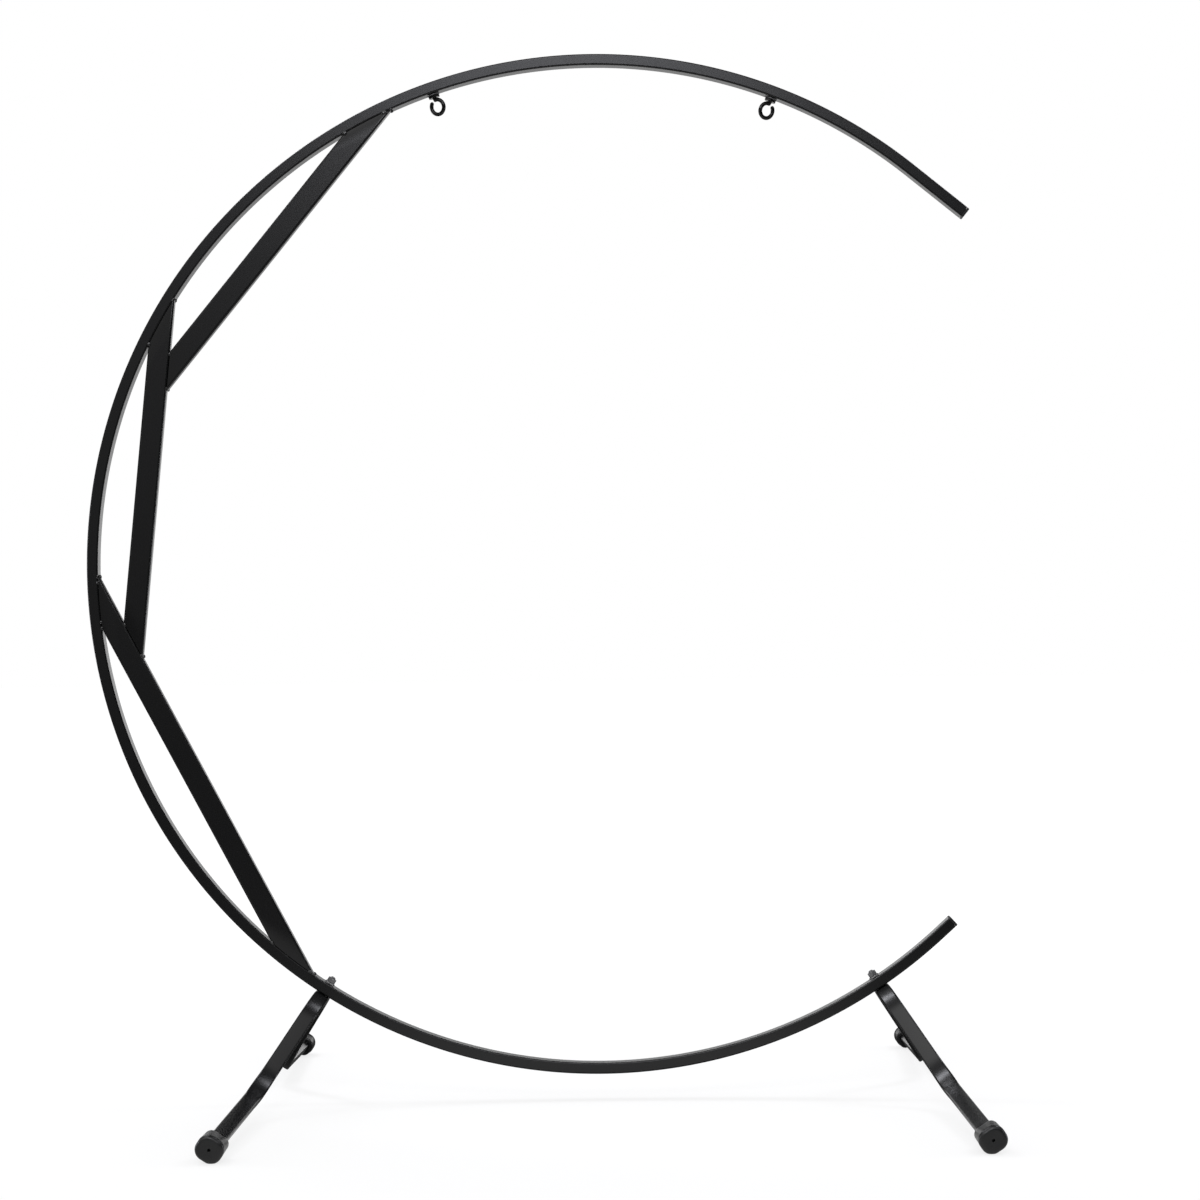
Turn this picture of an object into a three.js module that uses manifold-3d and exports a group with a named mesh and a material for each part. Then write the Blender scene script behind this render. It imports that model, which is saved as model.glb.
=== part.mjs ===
// A free-standing gong stand. A C-shaped ring of rectangular steel tube opens to the right, three straight
// braces cross its left side, two bow-shaped legs with rubber caps are bolted under it, and two open
// hooks hang under its top. Lengths are in millimetres and angles in degrees, with +Z up and -Y in front.

import * as THREE from "three";
import { mergeVertices } from "three/addons/utils/BufferGeometryUtils.js";
import Module from "manifold-3d";

const wasm = await Module();
wasm.setup();

// Ring. Its bend ends at two directions from its centre, counted upwards from the right, and each end
// of the tube goes straight on from there.
const RING_OUTER_RADIUS = 600;
const RING_BEND_ENDS = { upper: 50.8, lower: -47.9 };
const RING_UPPER_STRAIGHT = 80;
const RING_LOWER_STRAIGHT = 20;
const RING_TUBE_DEPTH = 22;
const RING_TUBE_THICKNESS = 13;
const RING_TUBE_CORNER = 2.5;
const RING_TUBE_WALL = 1.5;
const RING_STEPS = 80;

// End plugs
const PLUG_HEAD = 3;
const PLUG_EDGE = 1.2;
const PLUG_SHANK = 12;
const PLUG_SLACK = 0.6;

// Braces. Their directions from the ring's centre are counted from straight up towards the right, and
// their edges nearest the centre keep a share of the ring's inner radius.
const BRACE_DIRECTIONS = { upper_brace: -50.7, middle_brace: -84.2, lower_brace: -117.7 };
const BRACE_EDGE_SHARE = 0.89;
const BRACE_WIDTH = 26;
const BRACE_DEPTH = 14;
const BRACE_CORNER = 2.5;
const BRACE_WALL = 1.5;

// Legs, as bows seen from the side: a level middle, a steep drop each way and a long, nearly level foot.
// Each stands turned outwards in front by its toe angle.
const LEG_DIRECTION = 33.2;
const LEG_TOES = { left: 0.2, right: 1.2 };
const LEG_TUBE_WIDTH = 18;
const LEG_TUBE_THICKNESS = 12;
const LEG_TUBE_CORNER = 3;
const LEG_TUBE_WALL = 1.5;
const LEG_SHOULDER_REACH = 38;
const LEG_SHOULDER_RADIUS = 56;
const LEG_ANKLE_REACH = 116;
const LEG_ANKLE_DROP = 113;
const LEG_ANKLE_RADIUS = 45;
const LEG_REACH = 431;
const LEG_FOOT_DROP = 16;
const LEG_BEND_SEGMENTS = 3;

// Rubber caps on the legs' ends. Behind the pad at its end, a cap narrows to its mouth.
const CAP_WIDTH = 30;
const CAP_HEIGHT = 28;
const CAP_CORNER = 12;
const CAP_PAD_LENGTH = 8;
const CAP_MOUTH_WIDTH = 28;
const CAP_MOUTH_HEIGHT = 22.5;
const CAP_MOUTH_CORNER = 8;
const CAP_LENGTH = 38;
const CAP_EDGE = 1.5;
const CAP_SOCKET_DEPTH = 27;
const CAP_FLAT_DEPTH = 0.8;
const CAP_DIMPLE_RADIUS = 1.1;
const CAP_DIMPLE_DEPTH = 3;

// Leg bolts, from below, with a washer and a nut on the ring's inner face
const BOLT_DIAMETER = 6;
const BOLT_HEAD_HEIGHT = 4;
const BOLT_TIP = 2;
const WASHER_DIAMETER = 12.5;
const WASHER_THICKNESS = 1.6;
const NUT_ACROSS_FLATS = 10;
const NUT_HEIGHT = 5;

// Hooks: an open eye on a threaded shank, in a flanged insert with a lock nut. Their directions are
// counted from straight up towards the right.
const HOOK_DIRECTIONS = { left: -18.5, right: 21.2 };
const HOOK_TURN = 32;
const HOOK_EYE_DIAMETER = 21.8;
const HOOK_WIRE_DIAMETER = 4.6;
const HOOK_SHANK_DIAMETER = 5;
const HOOK_MOUTH_ANGLE = 46;
const HOOK_NUT_ACROSS_FLATS = 13;
const HOOK_NUT_HEIGHT = 2.8;
const HOOK_STEPS = 26;
const INSERT_BODY_DIAMETER = 9;
const INSERT_FLANGE_DIAMETER = 14.6;
const INSERT_FLANGE_THICKNESS = 1.2;

// The two sides, as signs along X
const SIDES = { left: -1, right: 1 };

// Fits
const SEAT_GAP = 0.3;
const HOLE_CLEARANCE = 0.3;
const CUT_OVERRUN = 4;
const ROUND_SIDES = 20;
const WIRE_SIDES = 8;

const RING_INNER_RADIUS = RING_OUTER_RADIUS - RING_TUBE_THICKNESS;
const RING_BEND_START = THREE.MathUtils.degToRad(RING_BEND_ENDS.upper);
const RING_BEND_FINISH = 2 * Math.PI + THREE.MathUtils.degToRad(RING_BEND_ENDS.lower);
const RING_STEP_ANGLE = (RING_BEND_FINISH - RING_BEND_START) / RING_STEPS;
// The ring's inner face is flat between its steps, so what stands against it keeps to this nearer radius.
const RING_CLEAR_RADIUS = RING_INNER_RADIUS * Math.cos(RING_STEP_ANGLE / 2) - SEAT_GAP;
const BRACE_OFFSET = RING_INNER_RADIUS * BRACE_EDGE_SHARE + BRACE_WIDTH / 2;

const satinBlack = new THREE.MeshStandardMaterial({ color: 0x2a2a2c, roughness: 0.5, metalness: 0.2 });
const blackPlastic = new THREE.MeshStandardMaterial({ color: 0x1c1c1d, roughness: 0.55, metalness: 0 });
const blackRubber = new THREE.MeshStandardMaterial({ color: 0x262627, roughness: 0.8, metalness: 0 });
const blackenedSteel = new THREE.MeshStandardMaterial({ color: 0x4a4a4c, roughness: 0.4, metalness: 0.7 });
const glossBlack = new THREE.MeshStandardMaterial({ color: 0x151516, roughness: 0.25, metalness: 0.3 });

// Part of a circle in the XZ plane, about a centre on the Z axis. Angles are counted from +X towards +Z.
class ArcPath extends THREE.Curve {
  constructor(height, radius, start, end) {
    super();
    Object.assign(this, { height, radius, start, end });
  }

  getPoint(t, target = new THREE.Vector3()) {
    const angle = THREE.MathUtils.lerp(this.start, this.end, t);
    return target.set(this.radius * Math.cos(angle), 0, this.height + this.radius * Math.sin(angle));
  }

  getUtoTmapping(u) {
    return u;
  }
}

// A path through given points, with one step from each point to the next.
class StationPath extends THREE.Curve {
  constructor(stations) {
    super();
    this.stations = stations;
  }

  getPoint(t, target = new THREE.Vector3()) {
    const along = THREE.MathUtils.clamp(t, 0, 1) * (this.stations.length - 1);
    const before = Math.min(Math.floor(along), this.stations.length - 2);
    return target.lerpVectors(this.stations[before], this.stations[before + 1], along - before);
  }

  getUtoTmapping(u) {
    return u;
  }
}

// A rectangle with round corners, centred on the origin.
function roundedRectangle(width, height, radius) {
  const x = width / 2 - radius;
  const y = height / 2 - radius;
  const shape = new THREE.Shape();
  shape.absarc(x, y, radius, 0, Math.PI / 2);
  shape.absarc(-x, y, radius, Math.PI / 2, Math.PI);
  shape.absarc(-x, -y, radius, Math.PI, 1.5 * Math.PI);
  shape.absarc(x, -y, radius, 1.5 * Math.PI, 2 * Math.PI);
  return shape;
}

function polygon(sides, radius) {
  const shape = new THREE.Shape();
  for (let i = 0; i < sides; i++) {
    const angle = (2 * Math.PI * i) / sides;
    shape[i ? "lineTo" : "moveTo"](radius * Math.cos(angle), radius * Math.sin(angle));
  }
  return shape;
}

function hexagon(acrossFlats) {
  return polygon(6, acrossFlats / Math.sqrt(3));
}

// A shape carried from one height to another along Z.
function prism(shape, bottom, top, curveSegments = 2) {
  const depth = top - bottom;
  const geometry = new THREE.ExtrudeGeometry(shape, { depth, bevelEnabled: false, curveSegments });
  return geometry.translate(0, 0, bottom);
}

function rod(diameter, bottom, top, sides = ROUND_SIDES) {
  return prism(polygon(sides, diameter / 2), bottom, top);
}

function box(lowest, highest) {
  const size = highest.clone().sub(lowest);
  const middle = lowest.clone().add(highest).multiplyScalar(0.5);
  return new THREE.BoxGeometry(size.x, size.y, size.z).translate(middle.x, middle.y, middle.z);
}

function swept(shape, path, steps, curveSegments = 1) {
  return new THREE.ExtrudeGeometry(shape, { steps, extrudePath: path, bevelEnabled: false, curveSegments });
}

function toSolid(geometry) {
  const bare = geometry.clone();
  bare.deleteAttribute("normal");
  bare.deleteAttribute("uv");
  const merged = mergeVertices(bare);
  return new wasm.Manifold(
    new wasm.Mesh({
      numProp: 3,
      vertProperties: merged.attributes.position.array,
      triVerts: new Uint32Array(merged.index.array),
    }),
  );
}

function toGeometry(solid) {
  const mesh = solid.getMesh();
  const geometry = new THREE.BufferGeometry();
  geometry.setAttribute("position", new THREE.BufferAttribute(new Float32Array(mesh.vertProperties), 3));
  geometry.setIndex(new THREE.BufferAttribute(new Uint32Array(mesh.triVerts), 1));
  geometry.computeVertexNormals();
  return geometry;
}

// The first shape joined with others, then cut by more.
function shaped(first, { joined = [], cutBy = [], within = [] }) {
  let body = toSolid(first);
  for (const geometry of joined) {
    body = body.add(toSolid(geometry));
  }
  for (const geometry of cutBy) {
    body = body.subtract(toSolid(geometry));
  }
  for (const geometry of within) {
    body = body.intersect(toSolid(geometry));
  }
  return toGeometry(body);
}

// The smallest bulging form that holds every one of the shapes.
function wrapped(...geometries) {
  return toGeometry(wasm.Manifold.hull(geometries.map(toSolid)));
}

function piece(name, geometry, material) {
  const mesh = new THREE.Mesh(geometry, material);
  mesh.name = name;
  return mesh;
}

// A group turned about the ring's centre, so that its own +Z points away from it in the given direction,
// counted in degrees from straight up towards the right.
function radialGroup(fromTop) {
  const group = new THREE.Group();
  group.rotation.y = THREE.MathUtils.degToRad(fromTop);
  return group;
}

// The ring's middle line, from its upper end round to its lower end, with each end made longer.
function ringPath(radius, overrun) {
  const stations = [];
  for (let i = 0; i <= RING_STEPS; i++) {
    const angle = RING_BEND_START + i * RING_STEP_ANGLE;
    stations.push(new THREE.Vector3(radius * Math.cos(angle), 0, radius * Math.sin(angle)));
  }
  const onwards = (end, angle, length) =>
    end.clone().add(new THREE.Vector3(-Math.sin(angle), 0, Math.cos(angle)).multiplyScalar(length));
  return new StationPath([
    onwards(stations[0], RING_BEND_START, -RING_UPPER_STRAIGHT - overrun),
    ...stations,
    onwards(stations[RING_STEPS], RING_BEND_FINISH, RING_LOWER_STRAIGHT + overrun),
  ]);
}

// A cutter placed in a radial group, brought into the ring's own frame.
function radially(fromTop, geometry) {
  return geometry.rotateY(THREE.MathUtils.degToRad(fromTop));
}

function frameTube() {
  const middle = RING_OUTER_RADIUS - RING_TUBE_THICKNESS / 2;
  const section = roundedRectangle(RING_TUBE_DEPTH, RING_TUBE_THICKNESS, RING_TUBE_CORNER);
  const bore = new THREE.Shape();
  const halfDepth = RING_TUBE_DEPTH / 2 - RING_TUBE_WALL;
  const halfThickness = RING_TUBE_THICKNESS / 2 - RING_TUBE_WALL;
  bore.moveTo(-halfDepth, -halfThickness);
  bore.lineTo(halfDepth, -halfThickness);
  bore.lineTo(halfDepth, halfThickness);
  bore.lineTo(-halfDepth, halfThickness);
  const steps = RING_STEPS + 2;
  const cutBy = [swept(bore, ringPath(middle, CUT_OVERRUN), steps)];
  for (const side of Object.values(SIDES)) {
    const boltHole = rod(
      BOLT_DIAMETER + 2 * HOLE_CLEARANCE,
      RING_INNER_RADIUS - CUT_OVERRUN,
      RING_OUTER_RADIUS + CUT_OVERRUN,
    );
    cutBy.push(radially(180 - side * LEG_DIRECTION, boltHole));
  }
  for (const direction of Object.values(HOOK_DIRECTIONS)) {
    const insertBore = INSERT_BODY_DIAMETER + 2 * HOLE_CLEARANCE;
    const insertHole = rod(insertBore, RING_INNER_RADIUS - CUT_OVERRUN, middle);
    cutBy.push(radially(direction, insertHole));
  }
  return shaped(swept(section, ringPath(middle, 0), steps), { cutBy });
}

// A plug for one end of the ring: a head that closes the tube and a shank inside it, along +Z.
function endPlug() {
  const inset = 2 * PLUG_EDGE;
  const face = roundedRectangle(
    RING_TUBE_DEPTH - inset,
    RING_TUBE_THICKNESS - inset,
    RING_TUBE_CORNER - PLUG_EDGE,
  );
  const head = new THREE.ExtrudeGeometry(face, {
    depth: PLUG_HEAD - inset,
    bevelThickness: PLUG_EDGE,
    bevelSize: PLUG_EDGE,
    bevelSegments: 2,
    curveSegments: 1,
  }).translate(0, 0, -PLUG_HEAD + PLUG_EDGE);
  const slack = 2 * (RING_TUBE_WALL + PLUG_SLACK);
  const shank = prism(
    roundedRectangle(RING_TUBE_DEPTH - slack, RING_TUBE_THICKNESS - slack, PLUG_EDGE),
    -PLUG_EDGE,
    PLUG_SHANK,
    1,
  );
  return shaped(head, { joined: [shank] });
}

function addEndPlug(ring, name, direction) {
  const end = Math.sign(direction);
  const away = (end > 0 ? RING_UPPER_STRAIGHT : RING_LOWER_STRAIGHT) + SEAT_GAP;
  const turn = new THREE.Group();
  turn.rotation.y = -THREE.MathUtils.degToRad(direction);
  const plug = piece(`${name}_end_plug`, endPlug(), blackPlastic);
  plug.rotation.set(end > 0 ? 0 : Math.PI, 0, Math.PI / 2);
  plug.position.set(RING_OUTER_RADIUS - RING_TUBE_THICKNESS / 2, 0, -end * away);
  turn.add(plug);
  ring.add(turn);
}

// A straight tube across the ring, with its face flush with the ring's front. Its own +Z points from the
// ring's centre to its middle, its ends follow the ring, and its lower end stops at the next brace's edge.
function brace(stepToNext) {
  const halfSpan = RING_OUTER_RADIUS;
  const front = -RING_TUBE_DEPTH / 2;
  const tube = prism(roundedRectangle(BRACE_DEPTH, BRACE_WIDTH, BRACE_CORNER), -halfSpan, halfSpan, 1);
  const inset = 2 * BRACE_WALL;
  const bore = prism(
    roundedRectangle(BRACE_DEPTH - inset, BRACE_WIDTH - inset, BRACE_CORNER - BRACE_WALL),
    -halfSpan - CUT_OVERRUN,
    halfSpan + CUT_OVERRUN,
    1,
  );
  for (const geometry of [tube, bore]) {
    geometry.rotateX(Math.PI / 2).rotateZ(Math.PI / 2);
    geometry.translate(0, front + BRACE_DEPTH / 2, BRACE_OFFSET);
  }
  const ringSides = 2 * RING_STEPS;
  const behind = front + BRACE_DEPTH + CUT_OVERRUN;
  const disc = rod(2 * RING_CLEAR_RADIUS, front - CUT_OVERRUN, behind, ringSides);
  disc.rotateX(Math.PI / 2).translate(0, 2 * front + BRACE_DEPTH, 0);
  const cutBy = [bore];
  if (stepToNext) {
    const edge = BRACE_OFFSET - BRACE_WIDTH / 2 - SEAT_GAP;
    const beyond = box(
      new THREE.Vector3(-halfSpan, -RING_TUBE_DEPTH, edge),
      new THREE.Vector3(halfSpan, RING_TUBE_DEPTH, RING_OUTER_RADIUS),
    );
    cutBy.push(beyond.rotateY(THREE.MathUtils.degToRad(stepToNext)));
  }
  return shaped(tube, { cutBy, within: [disc] });
}

function addBraces(ring) {
  const names = Object.keys(BRACE_DIRECTIONS);
  names.forEach((name, i) => {
    const direction = BRACE_DIRECTIONS[name];
    const next = BRACE_DIRECTIONS[names[i + 1]];
    const group = radialGroup(direction);
    group.add(piece(name, brace(next ? next - direction : 0), satinBlack));
    ring.add(group);
  });
}

// The slope of a foot, from its ankle to its cap.
const FOOT_SLOPE = Math.atan2(LEG_FOOT_DROP, LEG_REACH - LEG_ANKLE_REACH);
const CAP_SUPPORT =
  (CAP_WIDTH / 2 - CAP_CORNER) * Math.sin(THREE.MathUtils.degToRad(LEG_DIRECTION)) +
  (CAP_HEIGHT / 2 - CAP_CORNER) * Math.cos(THREE.MathUtils.degToRad(LEG_DIRECTION)) +
  CAP_CORNER;

// The points of a bow's middle line. Each corner becomes an arc that meets both of its sides.
function legStations(endReach) {
  const middle = -LEG_TUBE_THICKNESS / 2;
  const endDrop = LEG_ANKLE_DROP + (endReach - LEG_ANKLE_REACH) * Math.tan(FOOT_SLOPE);
  const half = [
    { corner: new THREE.Vector2(LEG_SHOULDER_REACH, middle), radius: LEG_SHOULDER_RADIUS },
    { corner: new THREE.Vector2(LEG_ANKLE_REACH, middle - LEG_ANKLE_DROP), radius: LEG_ANKLE_RADIUS },
  ];
  const end = new THREE.Vector2(endReach, middle - endDrop);
  const points = [new THREE.Vector2(0, middle)];
  half.forEach(({ corner, radius }, i) => {
    const before = i ? half[i - 1].corner : points[0];
    const after = i + 1 < half.length ? half[i + 1].corner : end;
    const towards = corner.clone().sub(before).normalize();
    const away = after.clone().sub(corner).normalize();
    const turn = Math.acos(towards.dot(away));
    const tangent = radius * Math.tan(turn / 2);
    const bend = Math.sign(towards.cross(away));
    const start = corner.clone().addScaledVector(towards, -tangent);
    const inward = new THREE.Vector2(-towards.y, towards.x).multiplyScalar(bend);
    const centre = start.clone().addScaledVector(inward, radius);
    for (let k = 0; k <= 2 * LEG_BEND_SEGMENTS; k++) {
      const angle = (bend * turn * k) / (2 * LEG_BEND_SEGMENTS);
      points.push(start.clone().rotateAround(centre, angle));
    }
  });
  points.push(end);
  const forward = points.slice(1).map((p) => new THREE.Vector3(0, -p.x, p.y));
  const backward = points.slice(1).map((p) => new THREE.Vector3(0, p.x, p.y));
  return [...backward.reverse(), ...forward];
}

// A leg's bent tube, with its middle's upper face on the plane z = 0 and its bolt hole on the Z axis.
function legTube() {
  const tubeEnd = LEG_REACH - CAP_LENGTH + CAP_SOCKET_DEPTH - SEAT_GAP;
  const outline = legStations(tubeEnd);
  const inset = 2 * LEG_TUBE_WALL;
  const section = roundedRectangle(LEG_TUBE_WIDTH, LEG_TUBE_THICKNESS, LEG_TUBE_CORNER);
  const bore = roundedRectangle(
    LEG_TUBE_WIDTH - inset,
    LEG_TUBE_THICKNESS - inset,
    LEG_TUBE_CORNER - LEG_TUBE_WALL,
  );
  const longer = legStations(tubeEnd + CUT_OVERRUN);
  const boltHole = rod(BOLT_DIAMETER + 2 * HOLE_CLEARANCE, -LEG_TUBE_THICKNESS - CUT_OVERRUN, CUT_OVERRUN);
  return shaped(swept(section, new StationPath(outline), outline.length - 1, 2), {
    cutBy: [swept(bore, new StationPath(longer), longer.length - 1), boltHole],
  });
}

// A slice of a cap with round edges all about it, its outer face on the plane z = top.
function capSlice(width, height, corner, length, top) {
  const inset = 2 * CAP_EDGE;
  return new THREE.ExtrudeGeometry(roundedRectangle(width - inset, height - inset, corner - CAP_EDGE), {
    depth: length - inset,
    bevelThickness: CAP_EDGE,
    bevelSize: CAP_EDGE,
    bevelSegments: 2,
    curveSegments: 3,
  }).translate(0, 0, top - length + CAP_EDGE);
}

// A rubber cap in its leg's frame, with its end face towards -Y. The floor meets it at a small flat.
function footCap(lean) {
  const mouthTop = CAP_PAD_LENGTH - CAP_LENGTH;
  const outer = wrapped(
    capSlice(CAP_WIDTH, CAP_HEIGHT, CAP_CORNER, CAP_PAD_LENGTH, 0),
    capSlice(CAP_MOUTH_WIDTH, CAP_MOUTH_HEIGHT, CAP_MOUTH_CORNER, CAP_PAD_LENGTH, mouthTop),
  );
  const slack = 2 * SEAT_GAP;
  const socket = prism(
    roundedRectangle(LEG_TUBE_WIDTH + slack, LEG_TUBE_THICKNESS + slack, LEG_TUBE_CORNER + SEAT_GAP),
    -CAP_LENGTH - CUT_OVERRUN,
    -CAP_LENGTH + CAP_SOCKET_DEPTH,
  );
  const dimple = rod(2 * CAP_DIMPLE_RADIUS, -CAP_DIMPLE_DEPTH, CUT_OVERRUN, WIRE_SIDES);
  const floor = box(
    new THREE.Vector3(-CAP_LENGTH, -LEG_REACH, -CAP_SUPPORT - CAP_HEIGHT),
    new THREE.Vector3(CAP_LENGTH, LEG_REACH, -CAP_SUPPORT + CAP_FLAT_DEPTH),
  ).rotateY(lean);
  for (const geometry of [outer, socket, dimple]) {
    geometry.rotateX(Math.PI / 2 + FOOT_SLOPE);
  }
  return shaped(outer, { cutBy: [socket, dimple, floor] });
}

function addLeg(ring, name, side) {
  const lean = THREE.MathUtils.degToRad(side * LEG_DIRECTION);
  const leg = new THREE.Group();
  leg.rotation.y = -lean;
  const seat = new THREE.Group();
  const toSeat = RING_OUTER_RADIUS + SEAT_GAP;
  seat.position.set(toSeat * Math.sin(lean), 0, -toSeat * Math.cos(lean));
  seat.rotation.set(0, -lean, THREE.MathUtils.degToRad(side * LEG_TOES[name]), "ZYX");
  seat.add(piece(`${name}_leg_tube`, legTube(), satinBlack));
  const capDrop = LEG_TUBE_THICKNESS / 2 + LEG_ANKLE_DROP + LEG_FOOT_DROP;
  for (const [end, facing] of Object.entries({ front: 1, rear: -1 })) {
    const cap = piece(`${name}_${end}_foot_cap`, footCap(facing * lean), blackRubber);
    cap.rotation.z = facing > 0 ? 0 : Math.PI;
    cap.position.set(0, -facing * LEG_REACH, -capDrop);
    seat.add(cap);
  }
  ring.add(seat);

  const washerTop = -RING_CLEAR_RADIUS + WASHER_THICKNESS;
  const nutBottom = washerTop + SEAT_GAP;
  const nutTop = nutBottom + NUT_HEIGHT;
  const headTop = -RING_OUTER_RADIUS - LEG_TUBE_THICKNESS - 2 * SEAT_GAP;
  const boreHole = BOLT_DIAMETER + 2 * HOLE_CLEARANCE;
  const bolt = shaped(rod(BOLT_DIAMETER, headTop - BOLT_HEAD_HEIGHT / 2, nutTop + BOLT_TIP), {
    joined: [prism(hexagon(NUT_ACROSS_FLATS), headTop - BOLT_HEAD_HEIGHT, headTop)],
  });
  const washer = shaped(rod(WASHER_DIAMETER, -RING_CLEAR_RADIUS, washerTop), {
    cutBy: [rod(boreHole, -RING_CLEAR_RADIUS - CUT_OVERRUN, washerTop + CUT_OVERRUN)],
  });
  const nut = shaped(prism(hexagon(NUT_ACROSS_FLATS), nutBottom, nutTop), {
    cutBy: [rod(boreHole, nutBottom - CUT_OVERRUN, nutTop + CUT_OVERRUN)],
  });
  leg.add(piece(`${name}_leg_bolt`, bolt, blackenedSteel));
  leg.add(piece(`${name}_leg_washer`, washer, blackenedSteel));
  leg.add(piece(`${name}_leg_nut`, nut, blackenedSteel));
  ring.add(leg);
}

// An open hook in a radial group: its shank points up into the ring, and its eye hangs below the lock nut.
function hook(eyeCentre, shankTop) {
  const radius = (HOOK_EYE_DIAMETER - HOOK_WIRE_DIAMETER) / 2;
  const turn = THREE.MathUtils.degToRad(360 - HOOK_MOUTH_ANGLE);
  const path = new ArcPath(eyeCentre, radius, Math.PI / 2, Math.PI / 2 + turn);
  const eye = swept(polygon(WIRE_SIDES, HOOK_WIRE_DIAMETER / 2), path, HOOK_STEPS);
  const shank = rod(HOOK_SHANK_DIAMETER, eyeCentre + radius, shankTop, 2 * WIRE_SIDES);
  return shaped(eye, { joined: [shank] });
}

function addHook(ring, name, side) {
  const group = radialGroup(HOOK_DIRECTIONS[name]);
  const flangeTop = RING_CLEAR_RADIUS;
  const flangeBottom = flangeTop - INSERT_FLANGE_THICKNESS;
  const nutTop = flangeBottom - SEAT_GAP;
  const nutBottom = nutTop - HOOK_NUT_HEIGHT;
  const eyeCentre = nutBottom - SEAT_GAP - HOOK_EYE_DIAMETER / 2;
  const insertTop = RING_OUTER_RADIUS - RING_TUBE_WALL - SEAT_GAP;
  const shankHole = HOOK_SHANK_DIAMETER + 2 * HOLE_CLEARANCE;

  const insert = shaped(rod(INSERT_FLANGE_DIAMETER, flangeBottom, flangeTop), {
    joined: [rod(INSERT_BODY_DIAMETER, flangeBottom, insertTop)],
    cutBy: [rod(shankHole, flangeBottom - CUT_OVERRUN, insertTop + CUT_OVERRUN)],
  });
  const nut = shaped(prism(hexagon(HOOK_NUT_ACROSS_FLATS), nutBottom, nutTop), {
    cutBy: [rod(shankHole, nutBottom - CUT_OVERRUN, nutTop + CUT_OVERRUN)],
  });
  const open = piece(`${name}_hook`, hook(eyeCentre, insertTop), glossBlack);
  open.rotation.z = THREE.MathUtils.degToRad(HOOK_TURN * side) + (side < 0 ? Math.PI : 0);
  group.add(piece(`${name}_hook_insert`, insert, blackenedSteel));
  group.add(piece(`${name}_hook_lock_nut`, nut, glossBlack));
  group.add(open);
  ring.add(group);
}

function gongStand() {
  const ring = new THREE.Group();
  ring.add(piece("c_frame_tube", frameTube(), satinBlack));
  for (const [name, direction] of Object.entries(RING_BEND_ENDS)) {
    addEndPlug(ring, name, direction);
  }
  addBraces(ring);
  for (const [name, side] of Object.entries(SIDES)) {
    addLeg(ring, name, side);
    addHook(ring, name, side);
  }
  return ring;
}

// The stand's origin is on the floor, under the middle of its outline.
const stand = gongStand();
stand.updateMatrixWorld(true);
const outline = new THREE.Box3().setFromObject(stand, true);
const middle = outline.getCenter(new THREE.Vector3());
stand.position.set(-middle.x, -middle.y, -outline.min.z);

export default stand;
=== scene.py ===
"""Looks of the gong stand: a ring of bent steel tube on two bow-shaped legs with rubber caps.

Lengths are in millimetres until a mesh is made, and angles in degrees, with +Z up and -Y in front.
Directions are counted from straight up towards the right, about the ring's centre.
"""
import math

import bpy
import numpy as np
from mathutils import Matrix, Vector


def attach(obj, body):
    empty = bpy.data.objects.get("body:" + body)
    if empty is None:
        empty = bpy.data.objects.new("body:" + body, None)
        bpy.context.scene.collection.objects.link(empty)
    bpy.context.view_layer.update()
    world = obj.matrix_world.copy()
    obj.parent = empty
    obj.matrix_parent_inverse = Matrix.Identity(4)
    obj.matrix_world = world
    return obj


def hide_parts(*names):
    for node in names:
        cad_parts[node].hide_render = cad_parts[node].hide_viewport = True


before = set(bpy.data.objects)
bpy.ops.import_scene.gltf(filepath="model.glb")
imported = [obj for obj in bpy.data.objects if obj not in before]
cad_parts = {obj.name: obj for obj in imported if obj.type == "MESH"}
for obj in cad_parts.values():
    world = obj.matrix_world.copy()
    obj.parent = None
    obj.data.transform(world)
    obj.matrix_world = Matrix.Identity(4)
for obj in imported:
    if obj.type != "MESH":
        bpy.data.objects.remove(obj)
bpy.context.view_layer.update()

MM = 0.001

# Camera, fitted to the photograph: its place from the ring's centre, and its shift in pixels of the photo
PHOTO_SIZE = 1200
CAMERA_FROM_CENTRE = np.array([54.42, -3611.0, -93.71])
CAMERA_LENS = 91.84
CAMERA_SENSOR = 36.0
CAMERA_ROLL = 0.7
CAMERA_SHIFT = (-44, 43)

# Sizes are the solids', apart from the corners of the ring and legs and the legs' ankles: the photo's edges
# are sharper and its highlights longer.
GAP = 0.3
CUT_OVERRUN = 4

# Ring. The solid is bent in flat steps, and what stands against its inner face keeps off them, on SEAT.
CENTRE = np.array([78.2660, -0.8138, 629.7890])
RING_OUTER = 600.0
RING_THICKNESS = 13.0
RING_DEPTH = 22.0
RING_CORNER = 1.8
RING_WALL = 1.5
RING_INNER = RING_OUTER - RING_THICKNESS
RING_MIDDLE = RING_OUTER - RING_THICKNESS / 2
RING_BEND = {"upper": 50.8, "lower": -47.9}
RING_STRAIGHT = {"upper": 80.0, "lower": 20.0}
RING_CUT_EDGE = 0.4
RING_BEND_STEPS = 400
SOLID_STEP = (360 + RING_BEND["lower"] - RING_BEND["upper"]) / 80
SEAT = RING_INNER * math.cos(math.radians(SOLID_STEP / 2)) - GAP

# End plugs. The shank's rings are (height, how much narrower the ring is), with two grooves.
PLUG_HEAD = 3.0
PLUG_EDGE = 1.2
PLUG_SLACK = 0.6
PLUG_SHANK_CORNER = 1.2
PLUG_SHANK = ((0.0, 0.0), (3.0, 0.0), (3.6, 0.5), (4.2, 0.0), (7.2, 0.0), (7.8, 0.5), (8.4, 0.0), (11.4, 0.0),
              (12.0, 0.6))

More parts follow.
